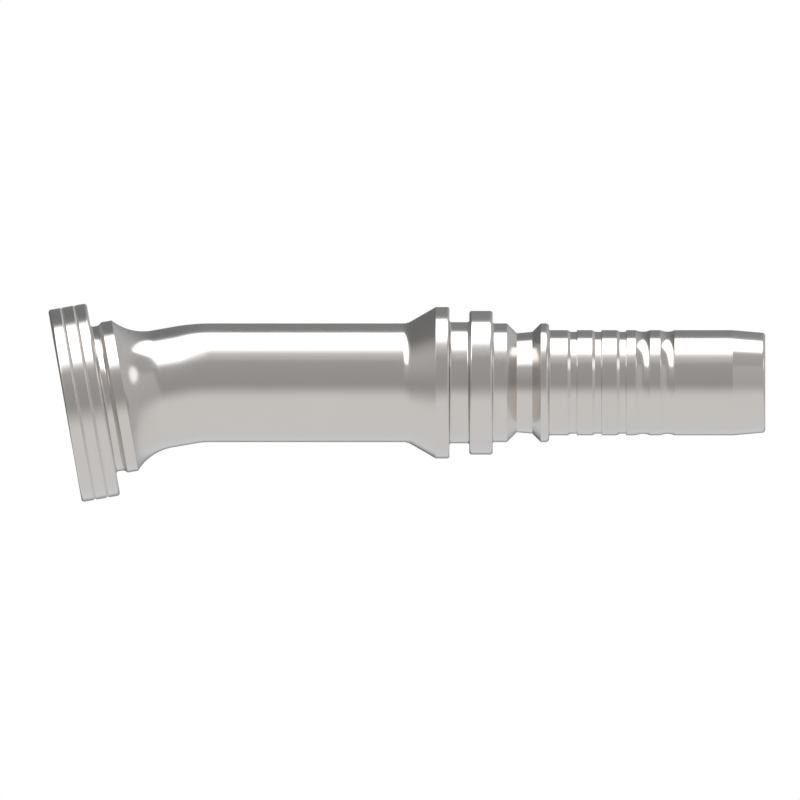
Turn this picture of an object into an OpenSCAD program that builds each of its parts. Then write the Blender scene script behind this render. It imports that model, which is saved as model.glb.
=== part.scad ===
// Hose nipple: a turned and bent steel insert that joins a high pressure hose to a flanged port.
// The origin is the middle of the sealing face and +Z runs along the head's axis into the part.
// The bend leans the hose end towards +X.

/* [Flange head] */
// Diameter of the flange head
head_d = 47.63; // [46:0.01:50]
// Thickness of the flange head
head_t = 9.53; // [8.5:0.01:12]
// Radius on the head's front edge
head_front_round = 0.7; // [0.2:0.05:1]
// Radius on the head's back edge
head_back_round = 0.75; // [0.2:0.05:1]
// Number of V-shaped marks around the head's rim
mark_count = 2; // [1:1:3]
// Width of each V-shaped mark
mark_w = 0.7; // [0.3:0.05:1.2]
// Depth of each V-shaped mark
mark_depth = 0.2; // [0.1:0.05:0.5]
// Distance of the marks' middle behind the head's middle
mark_offset = 0.1; // [-0.5:0.05:0.5]

/* [Seal groove in the face] */
// Outer diameter of the seal groove
seal_groove_d = 39.7; // [38:0.05:41]
// Width of the seal groove
seal_groove_w = 4.2; // [3:0.05:4.5]
// Depth of the seal groove
seal_groove_depth = 2.85; // [2:0.05:3.5]
// Radius along the bottom of the seal groove
seal_groove_round = 0.4; // [0.1:0.05:0.8]

/* [Neck behind the head] */
// Diameter of the relief behind the head
relief_d = 35.9; // [35:0.05:36.5]
// Distance from the head's back to the neck ring
relief_w = 2.78; // [2.6:0.01:4]
// Fillet between the head's back and the relief
relief_fillet = 0.55; // [0.3:0.05:0.9]
// Angle of the ramp from the relief up to the neck ring
ramp_angle = 40; // [35:1:60]
// Fillet between the relief and that ramp
ramp_fillet = 1.2; // [0.3:0.05:1.5]
// Diameter of the neck ring, which a flange clamp closes around
neck_ring_d = 37.3; // [36.8:0.05:38.1]
// Width of the neck ring
neck_ring_w = 2.54; // [1.5:0.01:4]
// Radius of the flare from the neck ring down to the tube
flare_r = 12.3; // [10:0.1:16]

/* [Tube and bend] */
// Outer diameter of the tube
tube_d = 29; // [27:0.1:31]
// Diameter of the bore
bore_d = 20; // [16:0.1:21]
// Straight length of tube between the flare and the bend
head_straight = 5.63; // [1:0.01:40]
// Angle of the bend
bend_angle = 10; // [5:1:90]
// Radius of the bend at the tube's centre
bend_r = 36.5; // [30:0.5:80]
// Straight length of tube between the bend and the stop collar's cone
shank_len = 48.06; // [20:0.01:120]

/* [Stop collar and lock collar] */
// Half angle of the cone that leads up to the stop collar
cone_angle = 30; // [20:1:45]
// Fillet between the tube and that cone
cone_fillet = 4; // [1:0.1:8]
// Diameter of the stop collar
stop_collar_d = 37; // [34:0.1:42]
// Width of the stop collar
stop_collar_w = 3.34; // [2:0.01:6]
// Radius on the stop collar's rear edge
stop_collar_round = 0.55; // [0.1:0.05:0.8]
// Diameter at the bottom of the lock groove
lock_groove_d = 29.6; // [27:0.1:32]
// Width of the lock groove
lock_groove_w = 4.85; // [3:0.01:8]
// Fillets along the bottom of the lock groove
lock_groove_fillet = 0.5; // [0.1:0.05:0.6]
// Diameter of the lock collar
lock_collar_d = 35.1; // [33.5:0.1:40]
// Width of the lock collar
lock_collar_w = 5.72; // [3:0.01:9]
// Radius on the lock collar's edges
lock_collar_round = 0.65; // [0.1:0.05:0.8]

/* [Seat, waist and bead] */
// Diameter of the seat beside the lock collar
seat_d = 29; // [27:0.1:31]
// Width of the seat
seat_w = 3.48; // [2:0.01:6]
// Fillet between the lock collar and the seat
seat_fillet = 0.4; // [0.1:0.05:0.6]
// Diameter of the waist at its narrow end
waist_d = 24.2; // [23:0.1:25]
// Width of the waist
waist_w = 3.79; // [2:0.01:6]
// Angle at which the waist widens
waist_angle = 5; // [0:0.5:10]
// Diameter of the bead
bead_d = 29; // [27:0.1:31]
// Width of the bead
bead_w = 2.05; // [1.5:0.01:4]
// Radius on the bead's rear edge
bead_round = 0.8; // [0.2:0.05:1]
// Fillet between the bead and the hose tail
bead_fillet = 0.3; // [0.1:0.05:0.5]

/* [Hose tail] */
// Diameter of the hose tail
tail_d = 25.7; // [25:0.05:26.5]
// Length of the hose tail from the bead to the tapered tip
tail_len = 44.85; // [42:0.01:70]
// Number of square-backed gripping grooves
barb_count = 3; // [1:1:3]
// Distance from the bead to the square back of the first gripping groove
barb_first = 6.79; // [4:0.01:7]
// Spacing of the gripping grooves
barb_pitch = 6; // [4:0.05:6.2]
// Width of each gripping groove
barb_w = 2.27; // [1.5:0.01:3]
// Depth of each gripping groove
barb_depth = 0.4; // [0.2:0.05:0.6]
// Run-in angle of each gripping groove
barb_angle = 30; // [20:1:60]
// Number of round-bottomed grooves
round_groove_count = 2; // [1:1:3]
// Distance from the bead to the middle of the first round-bottomed groove
round_groove_first = 22.9; // [21.5:0.01:25]
// Spacing of the round-bottomed grooves
round_groove_pitch = 6; // [4.5:0.05:7]
// Width of each round-bottomed groove
round_groove_w = 3.5; // [2:0.05:4]
// Depth of each round-bottomed groove
round_groove_depth = 0.37; // [0.2:0.01:0.6]

/* [Tip] */
// Length of the tapered tip
tip_len = 7.94; // [4:0.01:12]
// Taper of the tip
tip_angle = 5; // [2:0.5:10]
// Radius on the tip's outer edge
tip_round = 0.8; // [0.2:0.05:0.9]
// Chamfer inside the tip
tip_chamfer = 0.6; // [0.2:0.05:0.9]

/* [Hidden] */
$fn = 128;
// How far a cutting shape reaches past the face that it opens
reach = 1;
// How far a rounding's cut or fill laps over the corner itself
corner_lap = 0.1;
// How much the die draws the tube's radius in along the bend
draw_in = 0.01;
// How far the bend's section runs on inside each end
run_on_angle = 0.5;

head_r = head_d / 2;
relief_r = relief_d / 2;
neck_ring_r = neck_ring_d / 2;
tube_r = tube_d / 2;
bore_r = bore_d / 2;
stop_collar_r = stop_collar_d / 2;
lock_groove_r = lock_groove_d / 2;
lock_collar_r = lock_collar_d / 2;
seat_r = seat_d / 2;
waist_r = waist_d / 2;
bead_r = bead_d / 2;
tail_r = tail_d / 2;

// Places along the head's axis, from the sealing face
neck_ring_z = head_t + relief_w;
ramp_z = neck_ring_z - (neck_ring_r - relief_r) / tan(ramp_angle);
flare_z = neck_ring_z + neck_ring_w;
flare_end_z = flare_z + sqrt(pow(flare_r, 2) - pow(tube_r + flare_r - neck_ring_r, 2));
bend_z = flare_end_z + head_straight;

// Places along the hose end's axis, from the end of the bend
stop_collar_z = shank_len + (stop_collar_r - tube_r) / tan(cone_angle);
lock_groove_z = stop_collar_z + stop_collar_w;
lock_collar_z = lock_groove_z + lock_groove_w;
seat_z = lock_collar_z + lock_collar_w;
seat_end_z = seat_z + seat_w;
waist_z = seat_end_z + seat_r - waist_r;
waist_end_z = waist_z + waist_w;
waist_end_r = waist_r + waist_w * tan(waist_angle);
bead_z = waist_end_z + bead_r - waist_end_r;
tail_z = bead_z + bead_w;
tip_z = tail_z + tail_len;
end_z = tip_z + tip_len;
tip_r = tail_r - tip_len * tan(tip_angle);

// Radius of the arc in a round-bottomed groove
round_groove_r = (pow(round_groove_w / 2, 2) + pow(round_groove_depth, 2)) / (2 * round_groove_depth);

// The sliver between a corner and the arc of radius r that rounds it, with a little lap over the
// corner. The corner's two edges leave it at the angles a and b. It is taken off a sharp edge or
// added to an inner corner.
module corner(at, a, b, r) {
    half = abs(b - a) / 2;
    inward = [cos((a + b) / 2), sin((a + b) / 2)];
    along = r / tan(half);
    centre = at + r / sin(half) * inward;
    difference() {
        polygon([
            at - corner_lap * inward, at + along * [cos(a), sin(a)],
            centre, at + along * [cos(b), sin(b)]
        ]);
        translate(centre) circle(r);
    }
}

// One V-shaped mark in the head's rim, at a height z
module rim_mark(z) {
    polygon([
        [head_r - mark_depth, z],
        [head_r + mark_depth, z - mark_w],
        [head_r + mark_depth, z + mark_w]
    ]);
}

// Section of the seal groove
module seal_groove_section() {
    outer = seal_groove_d / 2;
    inner = outer - seal_groove_w;
    difference() {
        translate([inner, -reach]) square([seal_groove_w, seal_groove_depth + reach]);
        corner([inner, seal_groove_depth], -90, 0, seal_groove_round);
        corner([outer, seal_groove_depth], 180, 270, seal_groove_round);
    }
}

// Half section of the flange head, the neck and the flare, up to the bend
module head_section() {
    difference() {
        polygon([
            [0, 0], [head_r, 0], [head_r, head_t], [relief_r, head_t], [relief_r, ramp_z],
            [neck_ring_r, neck_ring_z], [neck_ring_r, flare_end_z], [tube_r, flare_end_z],
            [tube_r, bend_z], [0, bend_z]
        ]);
        translate([tube_r + flare_r, flare_end_z]) circle(flare_r);
        corner([head_r, 0], 90, 180, head_front_round);
        corner([head_r, head_t], 180, 270, head_back_round);
        for (i = [1 : mark_count]) rim_mark(head_t * i / (mark_count + 1) + mark_offset);
        seal_groove_section();
    }
    corner([relief_r, head_t], 0, 90, relief_fillet);
    corner([relief_r, ramp_z], -90, 90 - ramp_angle, ramp_fillet);
}

// The square-backed groove whose back is at a height z, as a barb to grip the hose's lining
module barb_section(z) {
    floor_r = tail_r - barb_depth;
    run_in = barb_depth / tan(barb_angle);
    polygon([
        [tail_r, z - barb_w], [floor_r, z - barb_w + run_in], [floor_r, z], [tail_r + reach, z],
        [tail_r + reach, z - barb_w]
    ]);
}

// Half section of the cone, the collars, the waist and the bead
module collar_section() {
    difference() {
        polygon([
            [0, 0], [tube_r, 0], [tube_r, shank_len],
            [stop_collar_r, stop_collar_z], [stop_collar_r, lock_groove_z],
            [lock_groove_r, lock_groove_z], [lock_groove_r, lock_collar_z],
            [lock_collar_r, lock_collar_z], [lock_collar_r, seat_z],
            [seat_r, seat_z], [seat_r, seat_end_z],
            [waist_r, waist_z], [waist_end_r, waist_end_z],
            [bead_r, bead_z], [bead_r, tail_z], [0, tail_z]
        ]);
        corner([stop_collar_r, lock_groove_z], 180, 270, stop_collar_round);
        corner([lock_collar_r, lock_collar_z], 90, 180, lock_collar_round);
        corner([lock_collar_r, seat_z], 180, 270, lock_collar_round);
        corner([bead_r, tail_z], 180, 270, bead_round);
    }
    corner([tube_r, shank_len], -90, 90 - cone_angle, cone_fillet);
    corner([lock_groove_r, lock_groove_z], 0, 90, lock_groove_fillet);
    corner([lock_groove_r, lock_collar_z], -90, 0, lock_groove_fillet);
    corner([seat_r, seat_z], 0, 90, seat_fillet);
}

// Half section of the hose tail and its tip
module tail_section() {
    difference() {
        polygon([[0, tail_z], [tail_r, tail_z], [tail_r, tip_z], [tip_r, end_z], [0, end_z]]);
        for (i = [0 : barb_count - 1]) barb_section(tail_z + barb_first + i * barb_pitch);
        for (i = [0 : round_groove_count - 1])
            translate([
                tail_r - round_groove_depth + round_groove_r,
                tail_z + round_groove_first + i * round_groove_pitch
            ])
                circle(round_groove_r);
        corner([tip_r, end_z], 180, 270 + tip_angle, tip_round);
    }
    corner([tail_r, tail_z], 0, 90, bead_fillet);
}

// Places its children on the hose end's axis, at the end of the bend
module on_hose_end() {
    translate([bend_r, 0, bend_z])
        rotate([0, bend_angle, 0])
            translate([-bend_r, 0, 0]) children();
}

// A round bar along the bend, for a tube wall of radius r. It is drawn in a hair, and it runs on
// a little into both ends.
module bent_bar(r) {
    translate([bend_r, 0, bend_z])
        rotate([90, 0, 180])
            rotate(-run_on_angle)
                rotate_extrude(angle = bend_angle + 2 * run_on_angle)
                    translate([bend_r, 0]) rotate(180) circle(r - draw_in);
}

// Half section of the bore in the hose end, with the chamfer at its mouth
module tail_bore_section() {
    mouth_r = bore_r + tip_chamfer + reach;
    polygon([[0, 0], [bore_r, 0], [bore_r, end_z - tip_chamfer], [mouth_r, end_z + reach], [0, end_z + reach]]);
}

// The bore, which follows both axes and the bend
module bore() {
    translate([0, 0, -reach]) cylinder(r = bore_r, h = bend_z + reach);
    bent_bar(bore_r);
    on_hose_end() rotate_extrude() tail_bore_section();
}

module hose_nipple() {
    color("#b3aeaa")
        difference() {
            union() {
                rotate_extrude() head_section();
                bent_bar(tube_r);
                on_hose_end() rotate_extrude() {
                    collar_section();
                    tail_section();
                }
            }
            bore();
        }
}

hose_nipple();
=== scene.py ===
import math

import bpy
import numpy as np
from mathutils import Matrix


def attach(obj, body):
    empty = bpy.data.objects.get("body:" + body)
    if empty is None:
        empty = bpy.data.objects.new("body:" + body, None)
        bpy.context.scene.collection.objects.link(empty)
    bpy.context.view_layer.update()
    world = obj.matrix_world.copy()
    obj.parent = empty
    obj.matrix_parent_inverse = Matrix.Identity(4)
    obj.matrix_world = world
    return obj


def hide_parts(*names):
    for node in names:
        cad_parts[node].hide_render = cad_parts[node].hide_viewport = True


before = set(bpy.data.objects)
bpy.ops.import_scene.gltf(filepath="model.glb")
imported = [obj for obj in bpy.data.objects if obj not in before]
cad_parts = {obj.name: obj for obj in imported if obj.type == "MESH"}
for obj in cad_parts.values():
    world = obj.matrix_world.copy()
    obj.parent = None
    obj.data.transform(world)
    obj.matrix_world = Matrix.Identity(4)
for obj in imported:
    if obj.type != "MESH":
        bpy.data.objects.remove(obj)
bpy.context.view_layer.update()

# Sizes in millimetres, as in the part's source
HEAD_R, HEAD_T = 23.815, 9.53
MARK_HALF_W, MARK_DEPTH = 0.35, 0.2
MARKS = (HEAD_T / 3 + 0.1, HEAD_T * 2 / 3 + 0.1)
SEAL_OUTER_R, SEAL_INNER_R, SEAL_DEPTH = 19.85, 15.65, 2.85
RELIEF_R, RELIEF_W, RAMP_ANGLE = 17.95, 2.78, math.radians(40)
NECK_RING_R, NECK_RING_W, FLARE_R = 18.65, 2.54, 12.3
TUBE_R, BORE_R, HEAD_STRAIGHT = 14.5, 10.0, 5.63
BEND_ANGLE, BEND_R, SHANK_LEN = math.radians(10), 36.5, 48.06
CONE_ANGLE, STOP_COLLAR_R, STOP_COLLAR_W = math.radians(30), 18.5, 3.34
LOCK_GROOVE_R, LOCK_GROOVE_W = 14.8, 4.85
LOCK_COLLAR_R, LOCK_COLLAR_W = 17.55, 5.72
SEAT_R, SEAT_W = 14.5, 3.48
WAIST_R, WAIST_W, WAIST_ANGLE = 12.1, 3.79, math.radians(5)
BEAD_R, BEAD_W = 14.5, 2.05
TAIL_R, TAIL_LEN = 12.85, 44.85
BARB_FIRST, BARB_PITCH, BARB_W, BARB_DEPTH, BARB_ANGLE = 6.79, 6.0, 2.27, 0.4, math.radians(30)
ROUND_FIRST, ROUND_PITCH, ROUND_HALF_W, ROUND_DEPTH = 22.9, 6.0, 1.75, 0.37
TIP_LEN, TIP_ANGLE, TIP_CHAMFER = 7.94, math.radians(5), 0.6
BARBS, ROUND_GROOVES = 3, 2

# Roundings and fillets. Those of 0.16 mm and less are deburred edges, too fine for the solids.
EDGE = 0.1
HEAD_FRONT_ROUND, HEAD_BACK_ROUND, MARK_ROUND, SEAL_ROUND = 0.7, 0.75, 0.04, 0.4
RELIEF_FILLET, RAMP_FILLET, CONE_FILLET = 0.55, 1.2, 4
STOP_COLLAR_ROUND, LOCK_GROOVE_FILLET, LOCK_COLLAR_ROUND = 0.55, 0.5, 0.65
SEAT_FILLET, BEAD_ROUND, BEAD_FILLET, TIP_ROUND = 0.4, 0.8, 0.3, 0.8
BARB_RUN_IN_ROUND, BARB_FLOOR_ROUND, BARB_BACK_ROUND = 0.08, 0.1, 0.16

# Places along the centreline, from the sealing face
NECK_RING = HEAD_T + RELIEF_W
FLARE = NECK_RING + NECK_RING_W
FLARE_END = FLARE + math.sqrt(FLARE_R**2 - (TUBE_R + FLARE_R - NECK_RING_R) ** 2)
BEND = FLARE_END + HEAD_STRAIGHT
HOSE_END = BEND + BEND_R * BEND_ANGLE
CONE = HOSE_END + SHANK_LEN
STOP_COLLAR = CONE + (STOP_COLLAR_R - TUBE_R) / math.tan(CONE_ANGLE)
LOCK_GROOVE = STOP_COLLAR + STOP_COLLAR_W
LOCK_COLLAR = LOCK_GROOVE + LOCK_GROOVE_W
SEAT = LOCK_COLLAR + LOCK_COLLAR_W
SEAT_END = SEAT + SEAT_W
WAIST = SEAT_END + SEAT_R - WAIST_R
WAIST_END = WAIST + WAIST_W
WAIST_END_R = WAIST_R + WAIST_W * math.tan(WAIST_ANGLE)
BEAD = WAIST_END + BEAD_R - WAIST_END_R
TAIL = BEAD + BEAD_W
TIP = TAIL + TAIL_LEN
END = TIP + TIP_LEN
TIP_R = TAIL_R - TIP_LEN * math.tan(TIP_ANGLE)

# Fineness of the surface: rings in the bend, points in each ring, and the turn of one step in
# the arcs of more and of less than 2 mm
BEND_RINGS, AROUND = 21, 192
WIDE_ARC, WIDE_ARC_STEP, ARC_STEP = 2, math.radians(2.5), math.radians(13)
TINY = 1e-6  # a length in millimetres or a turn in radians that counts as none

# The photograph's picture directions in the part's frame: along the picture's width and height,
# and from the part towards the camera. The hose end lies level in the picture.
PICTURE_RIGHT = (math.sin(BEND_ANGLE), 0, math.cos(BEND_ANGLE))
PICTURE_UP = (-math.cos(BEND_ANGLE), 0, math.sin(BEND_ANGLE))
TO_CAMERA = (0, -1, 0)

# The camera's place and the width of its picture, in metres
CAMERA_PLACE, PICTURE_W = (0.01274, -0.6, 0.08085), 0.195408

# Colours, with opacity last
DARKER_STEEL, PALER_STEEL = (0.667, 0.634, 0.608, 1), (0.695, 0.662, 0.639, 1)
# The bore's darker steel colour is painted shade in the hollow
BORE_STEEL_PAINTED_SHADE, FLOOR_COLOUR = (0.42, 0.4, 0.38, 1), (0.93, 0.93, 0.93, 1)
WHITE, COOL_WHITE = (1, 1, 1, 1), (0.958, 1, 1.02, 1)
TOOL_LINE_HEIGHT = 0.0000012  # metres

# The floor's half width, where it starts and ends to fade, and how far it is below the part, so
# that the two share no plane, in metres
FLOOR_HALF_W, FLOOR_FADES, FLOOR_DROP = 0.5, (0.14, 0.42), 0.0001

# Brightness of the overhead soft box and of the small one, where white is 1, and the small one's
# place rightward, upward and towards the camera
SOFT_BOX, SMALL_BOX, SMALL_BOX_PLACE = 2.6, 1.4, (0.75471, 0.55, 0.357)
# The overhead soft box lies on the positive side of these planes through the part, given by
# their normals rightward, upward and towards the camera: left side, camera end, back end,
# right end and the two back corners
SOFT_BOX_SIDES = (
    (1, 0.477, 0.4815), (0, 1.2, -1), (0, 0.445, 1), (-1, 0.52, 0), (1.28, 0.543, 1),
    (-0.726, 0.498, 1),
)


class Value:
    """A shader socket's value. Python's operators on it add Math nodes."""

    def __init__(self, nodes, socket):
        self.nodes, self.socket = nodes, socket

    def math(self, operation, *numbers):
        return self.nodes.add("ShaderNodeMath", {"operation": operation}, dict(enumerate(numbers)))

    def __add__(self, other):
        return self.math("ADD", self, other)

    __radd__ = __add__

    def __sub__(self, other):
        return self.math("SUBTRACT", self, other)

    def __rsub__(self, other):
        return self.math("SUBTRACT", other, self)

    def __mul__(self, other):
        return self.math("MULTIPLY", self, other)

    __rmul__ = __mul__

    def largest(self, other):
        """The larger of this and another value."""
        return self.math("MAXIMUM", self, other)

    def soft(self, start, end):
        """0 up to start, 1 from end on, and a smooth step between them."""
        return self.nodes.add(
            "ShaderNodeMapRange", {"interpolation_type": "SMOOTHSTEP"}, {0: self, 1: start, 2: end}
        )


class Nodes:
    """The shader nodes of a material or of the world, from empty."""

    def __init__(self, owner):
        owner.use_nodes = True
        self.tree = owner.node_tree
        self.tree.nodes.clear()

    def add(self, kind, settings=None, inputs=None, output=0):
        """A node of a kind, with its settings and a number or a link for each input named."""
        node = self.tree.nodes.new(kind)
        for name, value in (settings or {}).items():
            setattr(node, name, value)
        for name, value in (inputs or {}).items():
            if isinstance(value, Value):
                self.tree.links.new(value.socket, node.inputs[name])
            else:
                node.inputs[name].default_value = value
        return Value(self, node.outputs[output]) if node.outputs else None

    def mix(self, share, first, second):
        """A colour that goes from the first to the second."""
        return self.add(
            "ShaderNodeMix", {"data_type": "RGBA"}, {0: share, 6: first, 7: second}, output=2
        )


def section_corners():
    """The part's closed half section as corners: place along the centreline, radius, rounding.

    It starts at the bore's mouth in the sealing face, runs out over the face and its seal groove,
    along the outside to the tip, and back through the bore. A circular arc between two straight
    lines is the rounding of the corner where those lines, or its own end tangents, meet.
    """
    bend_steps = np.linspace(BEND, HOSE_END, BEND_RINGS)
    corners = [
        (0, BORE_R, EDGE),
        (0, SEAL_INNER_R, EDGE), (SEAL_DEPTH, SEAL_INNER_R, SEAL_ROUND),
        (SEAL_DEPTH, SEAL_OUTER_R, SEAL_ROUND), (0, SEAL_OUTER_R, EDGE),
        (0, HEAD_R, HEAD_FRONT_ROUND),
    ]
    for mark in MARKS:
        corners += [
            (mark - MARK_HALF_W, HEAD_R, MARK_ROUND), (mark, HEAD_R - MARK_DEPTH, MARK_ROUND),
            (mark + MARK_HALF_W, HEAD_R, MARK_ROUND),
        ]
    # The flare's two tangents meet half its turn away from either end
    flare_turn = math.acos((TUBE_R + FLARE_R - NECK_RING_R) / FLARE_R)
    flare_reach = FLARE_R * math.tan(flare_turn / 2)
    ramp = NECK_RING - (NECK_RING_R - RELIEF_R) / math.tan(RAMP_ANGLE)
    corners += [
        (HEAD_T, HEAD_R, HEAD_BACK_ROUND), (HEAD_T, RELIEF_R, RELIEF_FILLET),
        (ramp, RELIEF_R, RAMP_FILLET),
        (NECK_RING, NECK_RING_R, EDGE), (FLARE, NECK_RING_R, 0),
        (FLARE_END - flare_reach, TUBE_R, FLARE_R),
    ]
    corners += [(step, TUBE_R, 0) for step in bend_steps]
    corners += [
        (CONE, TUBE_R, CONE_FILLET), (STOP_COLLAR, STOP_COLLAR_R, EDGE),
        (LOCK_GROOVE, STOP_COLLAR_R, STOP_COLLAR_ROUND),
        (LOCK_GROOVE, LOCK_GROOVE_R, LOCK_GROOVE_FILLET),
        (LOCK_COLLAR, LOCK_GROOVE_R, LOCK_GROOVE_FILLET),
        (LOCK_COLLAR, LOCK_COLLAR_R, LOCK_COLLAR_ROUND),
        (SEAT, LOCK_COLLAR_R, LOCK_COLLAR_ROUND), (SEAT, SEAT_R, SEAT_FILLET),
        (SEAT_END, SEAT_R, EDGE), (WAIST, WAIST_R, EDGE), (WAIST_END, WAIST_END_R, EDGE),
        (BEAD, BEAD_R, EDGE), (TAIL, BEAD_R, BEAD_ROUND), (TAIL, TAIL_R, BEAD_FILLET),
    ]
    # Each barb groove runs in along a slope and ends at a square back
    for i in range(BARBS):
        back = TAIL + BARB_FIRST + i * BARB_PITCH
        front, floor_r = back - BARB_W, TAIL_R - BARB_DEPTH
        run_in = BARB_DEPTH / math.tan(BARB_ANGLE)
        corners += [
            (front, TAIL_R, BARB_RUN_IN_ROUND), (front + run_in, floor_r, BARB_FLOOR_ROUND),
            (back, floor_r, BARB_FLOOR_ROUND), (back, TAIL_R, BARB_BACK_ROUND),
        ]
    round_r = (ROUND_HALF_W**2 + ROUND_DEPTH**2) / (2 * ROUND_DEPTH)
    round_turn = math.asin(ROUND_HALF_W / round_r)
    tangents_meet_r = TAIL_R - ROUND_HALF_W * math.tan(round_turn)
    for i in range(ROUND_GROOVES):
        middle = TAIL + ROUND_FIRST + i * ROUND_PITCH
        corners += [
            (middle - ROUND_HALF_W, TAIL_R, 0), (middle, tangents_meet_r, round_r),
            (middle + ROUND_HALF_W, TAIL_R, 0),
        ]
    corners += [
        (TIP, TAIL_R, EDGE), (END, TIP_R, TIP_ROUND),
        (END, BORE_R + TIP_CHAMFER, EDGE), (END - TIP_CHAMFER, BORE_R, EDGE),
    ]
    corners += [(step, BORE_R, 0) for step in bend_steps[::-1]]
    return corners


def rounded_section(corners):
    """Points around the section, with the outward normal at the start and end of each stretch.

    A corner of rounding q between directions at the angles a and b becomes an arc: its points are
    the arc's centre less q times the left normal (-sin w, cos w) as w goes from a to b, and those
    left normals are the surface's own. A straight stretch has one normal at both its ends.
    """
    at = np.array([c[:2] for c in corners])
    leg = np.roll(at, -1, 0) - at
    heading = np.arctan2(leg[:, 1], leg[:, 0])
    points, starts, ends = [], [], []
    for i, (_, _, rounding) in enumerate(corners):
        a = heading[i - 1]
        turn = (heading[i] - a + np.pi) % (2 * np.pi) - np.pi
        step = WIDE_ARC_STEP if rounding > WIDE_ARC else ARC_STEP
        w = a + turn * np.linspace(0, 1, 2 + int(abs(turn) / step))
        if not rounding or abs(turn) < TINY:
            w = np.array([a + turn])
        left = np.stack([-np.sin(w), np.cos(w)], 1)
        ahead = np.array([np.cos(a), np.sin(a)])
        beside = np.array([-ahead[1], ahead[0]])
        bulge = math.copysign(rounding, turn)
        centre = at[i] - ahead * rounding * math.tan(abs(turn) / 2) + bulge * beside
        points.append(centre - bulge * left if len(w) > 1 else at[i : i + 1])
        starts.append(left)
        ends.append(np.vstack([left[1:], left[-1:]]))
    points, starts, ends = (np.concatenate(part) for part in (points, starts, ends))
    length = np.linalg.norm(np.roll(points, -1, 0) - points, axis=1)
    kept = length > TINY
    return points[kept], starts[kept], ends[kept], length[kept]


def carry_along_centreline(places, across, angle):
    """Carries section values round the centreline and into the part's frame.

    A section point (s, r) at the angle v lies at (r cos v, r sin v) in the plane square to the
    centreline at s. That plane is carried straight on in the head, turned about the bend's pivot
    in the bend, and carried straight on again in the hose end. Normals turn with it.
    """
    s, r = places[:, None, 0], places[:, None, 1]
    turned = np.clip((s - BEND) / BEND_R, 0, BEND_ANGLE)
    on = s - BEND - turned * BEND_R
    sin, cos = np.sin(turned), np.cos(turned)
    x, y = r * np.cos(angle) - BEND_R, r * np.sin(angle)
    place = np.stack([BEND_R + cos * x + sin * on, y, BEND - sin * x + cos * on + 0 * x], 2)
    ns, nr = across[:, None, 0], across[:, None, 1]
    nx, ny = nr * np.cos(angle), nr * np.sin(angle)
    normal = np.stack([cos * nx + sin * ns, ny, cos * ns - sin * nx], 2)
    return place, normal


def turned_piece(name, section, around):
    """A solid of the rounded section carried round and along the centreline, closed both ways.

    The surface is a function of two parameters: the distance along the section, and the turn
    about the centreline. Both are kept in the UV map called lathe, in millimetres and in turns.
    """
    points, starts, ends, length = section
    angle = np.arange(around + 1) * 2 * np.pi / around
    place, start_normal = carry_along_centreline(points, starts, angle)
    end_normal = carry_along_centreline(np.roll(points, -1, 0), ends, angle)[1]
    ring, step = np.meshgrid(np.arange(len(points)), np.arange(around), indexing="ij")
    next_ring, next_step = (ring + 1) % len(points), (step + 1) % around
    faces = np.stack(
        [ring * around + step, ring * around + next_step,
         next_ring * around + next_step, next_ring * around + step], 2,
    ).reshape(-1, 4)
    normals = np.stack(
        [start_normal[:, :-1], start_normal[:, 1:], end_normal[:, 1:], end_normal[:, :-1]], 2
    ).reshape(-1, 3)
    so_far = np.concatenate([[0], np.cumsum(length)])
    u = np.stack([so_far[ring], so_far[ring], so_far[ring + 1], so_far[ring + 1]], 2)
    v = np.stack([step, step + 1, step + 1, step], 2) / around
    mesh = bpy.data.meshes.new(name)
    metres = place[:, :-1].reshape(-1, 3) / 1000
    mesh.from_pydata(metres, [], faces)
    mesh.uv_layers.new(name="lathe").uv.foreach_set(
        "vector", np.stack([u, v], 3).astype(np.float32).ravel()
    )
    mesh.polygons.foreach_set("use_smooth", np.ones(len(faces), bool))
    mesh.normals_split_custom_set(normals)
    piece = bpy.data.objects.new(name, mesh)
    bpy.context.scene.collection.objects.link(piece)
    return piece


def rim_marks(millimetres, section):
    """1 in the two rim marks and 0 elsewhere, from the distance along the section."""
    points, _, _, length = section
    so_far = np.concatenate([[0], np.cumsum(length)[:-1]])
    on_rim = points[:, 1] > HEAD_R - 1
    reach, fade = MARK_HALF_W + MARK_ROUND, 0.02
    marked = 0
    for mark in MARKS:
        start, end = so_far[on_rim & (abs(points[:, 0] - mark) < reach)][[0, -1]]
        started, unended = millimetres.soft(start - fade, start), millimetres.soft(end + fade, end)
        marked = started * unended + marked
    return marked


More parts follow.
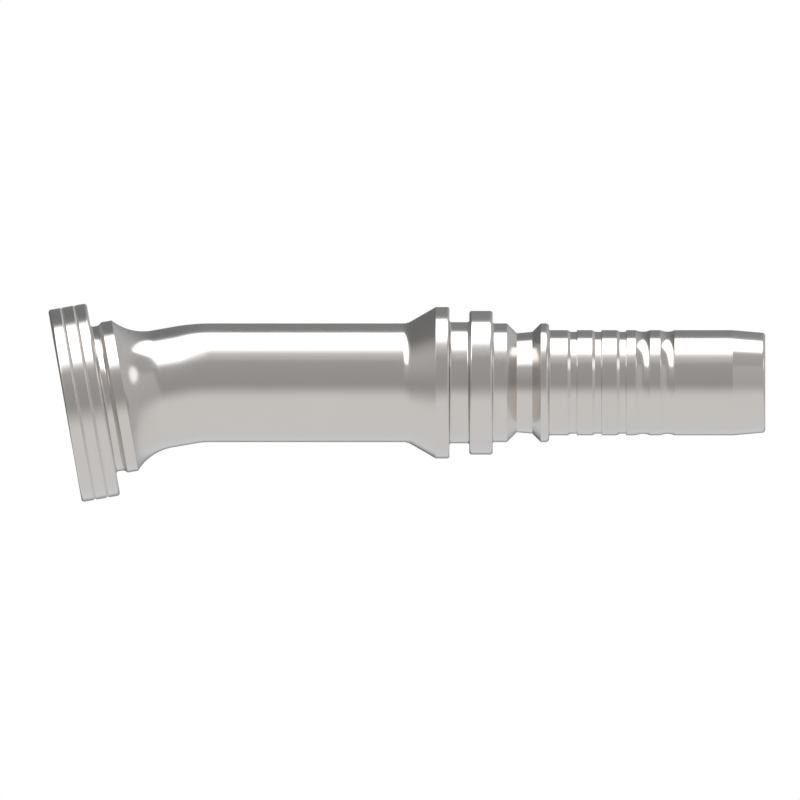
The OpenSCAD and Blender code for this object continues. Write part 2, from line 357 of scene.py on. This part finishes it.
def turned_steel(section):
    """Plated steel off a lathe: fine lines around the axes, faint clouding, a duller bore whose
    darker colour is painted shade.
    """
    material = bpy.data.materials.new("turned_steel")
    nodes = Nodes(material)
    lathe = nodes.add("ShaderNodeUVMap", {"uv_map": "lathe"}, output="UV")
    millimetres = nodes.add("ShaderNodeSeparateXYZ", None, {0: lathe})
    here = nodes.add("ShaderNodeTexCoord", output="Object")
    cloud = nodes.add("ShaderNodeTexNoise", None, {"Vector": here, "Scale": 55, "Detail": 3})
    lines = nodes.add(
        "ShaderNodeTexNoise", {"noise_dimensions": "1D"},
        {"W": millimetres, "Scale": 7, "Detail": 2},
    )
    # The bore is the section's last stretch, as long as the part's centreline
    bore_start = section[3].sum() - END
    bore = millimetres.soft(bore_start, bore_start + 1)
    marks = rim_marks(millimetres, section)
    # In the bore the colour turns to a darker steel: painted shade in the hollow
    colour = nodes.mix(bore, nodes.mix(cloud, DARKER_STEEL, PALER_STEEL), BORE_STEEL_PAINTED_SHADE)
    # Duller where it is cloudy, between the tool lines, in the bore and in the marks
    roughness = 0.13 + 0.04 * cloud + 0.03 * lines + 0.16 * bore + 0.3 * marks
    relief = nodes.add(
        "ShaderNodeBump", None, {"Strength": 1, "Distance": TOOL_LINE_HEIGHT, "Height": lines}
    )
    steel = nodes.add(
        "ShaderNodeBsdfPrincipled", None,
        {"Base Color": colour, "Metallic": 1, "Roughness": roughness, "Normal": relief},
    )
    nodes.add("ShaderNodeOutputMaterial", None, {"Surface": steel})
    return material


def studio():
    """A studio that the steel mirrors: pale walls, a dimmer camera side and a dark, cool back.

    A large soft box hangs over the part and a small round one beyond the picture's upper right.
    Everything is a function of the direction's parts along the picture's width and height and
    towards the camera. Only mirrored rays see it, and all others meet plain white.
    """
    world = bpy.data.worlds.new("studio")
    bpy.context.scene.world = world
    world.cycles.sampling_method = "NONE"  # mirrored rays find the soft boxes by themselves
    nodes = Nodes(world)
    direction = nodes.add("ShaderNodeTexCoord", output="Generated")

    def towards(right, up, front):
        """The direction's part along an axis given rightward, upward and to the camera."""
        axis = np.array([PICTURE_RIGHT, PICTURE_UP, TO_CAMERA]).T @ np.array([right, up, front])
        return nodes.add(
            "ShaderNodeVectorMath", {"operation": "DOT_PRODUCT"},
            {0: direction, 1: axis / np.linalg.norm(axis)}, output="Value",
        )

    right, up, front = towards(1, 0, 0), towards(0, 1, 0), towards(0, 0, 1)
    rightward = right.largest(0)
    walls = 0.805 - 0.06 * rightward * rightward
    # Brighter panels stand right and left of the camera, and the back brightens to the right
    panel = right.soft(0, 0.17) * (0.13 + 0.07 * up - 0.29 * up.soft(0.54, 0.8))
    camera_side = 0.393 + 0.03 * up + 0.16 * up.soft(0.64, 0.78) + panel
    camera_side = camera_side + 0.28 * up * right.soft(0, -0.225)
    back_side = 0.155 + 0.08 * up + 0.4 * right.soft(-0.25, 0.6)
    # Low down, both turn into the walls
    near = walls + (camera_side - walls) * up.soft(-0.53, -0.02)
    far = walls + (back_side - walls) * up.soft(-0.55, -0.2)
    light = far + (near - far) * front.soft(-0.15, 0.35)
    # The overhead soft box's front right corner reaches to the further of two planes
    box = towards(-1, 0.167, -0.41).soft(-0.06, 0.06)
    box = box.largest(towards(-1, 0.414, -1).soft(-0.04, 0.04))
    for side in SOFT_BOX_SIDES:
        box = box * towards(*side).soft(-0.04, 0.04)
    light = light + (SOFT_BOX - light) * box
    small = towards(*SMALL_BOX_PLACE).soft(0.97, 0.995)
    light = light + (SMALL_BOX - light) * small
    path = nodes.add("ShaderNodeLightPath", output="Is Glossy Ray")
    strength = 1 + (light - 1) * path
    tint = nodes.mix(path * front.soft(0.1, -0.8), WHITE, COOL_WHITE)
    background = nodes.add("ShaderNodeBackground", None, {"Color": tint, "Strength": strength})
    nodes.add("ShaderNodeOutputWorld", None, {"Surface": background})


def floor():
    """A pale floor under the part: a flat grid that fades into the white studio further out."""
    side = np.linspace(-FLOOR_HALF_W, FLOOR_HALF_W, 3)
    x, y = np.meshgrid(side, side)
    corner = (np.arange(2)[:, None] * 3 + np.arange(2)).ravel()
    mesh = bpy.data.meshes.new("floor")
    mesh.from_pydata(
        np.stack([x, y, np.full_like(x, -FLOOR_DROP)], 2).reshape(-1, 3), [],
        np.stack([corner, corner + 1, corner + 4, corner + 3], 1),
    )
    material = bpy.data.materials.new("pale_floor")
    nodes = Nodes(material)
    here = nodes.add("ShaderNodeTexCoord", output="Object")
    away = nodes.add("ShaderNodeVectorMath", {"operation": "LENGTH"}, {0: here}, output="Value")
    under = nodes.add("ShaderNodeNewGeometry", output="Backfacing")
    pale = nodes.add("ShaderNodeBsdfDiffuse", None, {"Color": FLOOR_COLOUR})
    clear = nodes.add("ShaderNodeBsdfTransparent")
    gone = away.soft(*FLOOR_FADES)
    shown = nodes.add(
        "ShaderNodeMixShader", None, {0: gone.largest(under), 1: pale, 2: clear}
    )
    nodes.add("ShaderNodeOutputMaterial", None, {"Surface": shown})
    mesh.materials.append(material)
    piece = bpy.data.objects.new("floor", mesh)
    bpy.context.scene.collection.objects.link(piece)
    piece.visible_glossy = False


def camera():
    """A camera without perspective, turned so that the hose end lies level in the picture."""
    data = bpy.data.cameras.new("camera")
    data.type = "ORTHO"
    data.ortho_scale = PICTURE_W
    piece = bpy.data.objects.new("camera", data)
    bpy.context.scene.collection.objects.link(piece)
    axes = np.stack([PICTURE_RIGHT, PICTURE_UP, TO_CAMERA, CAMERA_PLACE], 1)
    piece.matrix_world = Matrix([*axes.tolist(), [0, 0, 0, 1]])
    bpy.context.scene.camera = piece


camera()
studio()
floor()
bpy.context.scene.view_settings.view_transform = "Standard"

section = rounded_section(section_corners())
nipple = turned_piece("turned_nipple", section, AROUND)
nipple.data.materials.append(turned_steel(section))
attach(nipple, "root")
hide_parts("hose_nipple")
